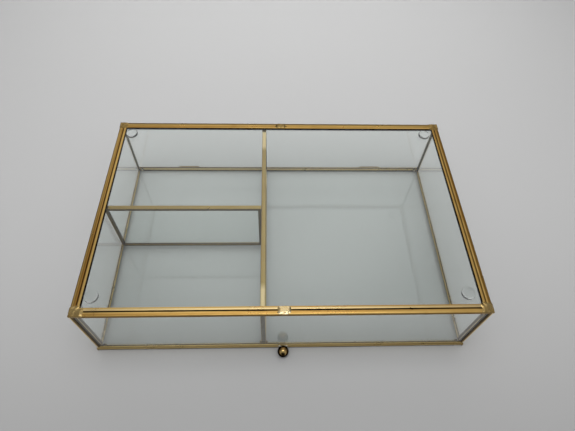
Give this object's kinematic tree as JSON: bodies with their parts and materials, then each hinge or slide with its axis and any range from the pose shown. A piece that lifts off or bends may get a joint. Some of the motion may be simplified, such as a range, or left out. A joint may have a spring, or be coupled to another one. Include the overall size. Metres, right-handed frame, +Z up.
{
  "type": "jewelry box",
  "caption": "Rectangular clear glass jewelry box in mitred folded-brass channel frames, with a hinged lid, ball knob, glass dividers and clear bumper feet, lying on its lid.",
  "frame": {"origin": "middle of the footprint, knob and hinges included, on the plane that the lid's rails lie on", "axes": "+X to the right along the front, +Y from the knob towards the hinges, +Z up from the lid's outer face to the feet, so the box lies on its closed lid with its base up"},
  "size_m": [0.3068, 0.2082, 0.0718],
  "materials": {
    "glass": "clear 3 mm float glass with a faint green cast at the cut edges",
    "brass": "lacquered brass sheet, warm and slightly dulled, with handling marks",
    "old_brass": "dark antique brass, smooth and fairly shiny",
    "solder": "soft solder with a brass-toned wash, lumpy and bright",
    "bumper": "clear soft polyurethane"
  },
  "bodies": {
    "lid": {"lid_glass": "glass", "lid_front_rail": "brass", "lid_back_rail": "brass", "lid_left_rail": "brass", "lid_right_rail": "brass", "lid_corner_solder": "solder", "knob": "old_brass", "knob_solder": "solder", "lid_hinge_leaves": "brass", "hinge_pins": "old_brass"},
    "case": {"base_glass": "glass", "base_front_rail": "brass", "base_back_rail": "brass", "base_left_rail": "brass", "base_right_rail": "brass", "front_glass": "glass", "front_rim_rail": "brass", "front_base_rail": "brass", "front_left_post": "brass", "front_right_post": "brass", "back_glass": "glass", "back_rim_rail": "brass", "back_base_rail": "brass", "back_left_post": "brass", "back_right_post": "brass", "left_glass": "glass", "left_rim_rail": "brass", "left_base_rail": "brass", "left_front_post": "brass", "left_back_post": "brass", "right_glass": "glass", "right_rim_rail": "brass", "right_base_rail": "brass", "right_front_post": "brass", "right_back_post": "brass", "long_divider_glass": "glass", "long_divider_rim_rail": "brass", "long_divider_base_rail": "brass", "long_divider_front_post": "brass", "long_divider_back_post": "brass", "short_divider_glass": "glass", "short_divider_rim_rail": "brass", "short_divider_base_rail": "brass", "short_divider_left_post": "brass", "short_divider_right_post": "brass", "front_left_solder": "solder", "front_right_solder": "solder", "back_left_solder": "solder", "back_right_solder": "solder", "seam_solder": "solder", "divider_solder": "solder", "rim_corner_solder": "solder", "bumper_feet": "bumper", "case_hinge_leaves": "brass"}
  },
  "joints": [
    {"name": "lid_hinge", "type": "hinge", "parent": "lid", "child": "case", "pos_m": [0, 0.1025, 0.00395], "axis": [-1, 0, 0], "range_deg": [0, 94]}
  ]
}
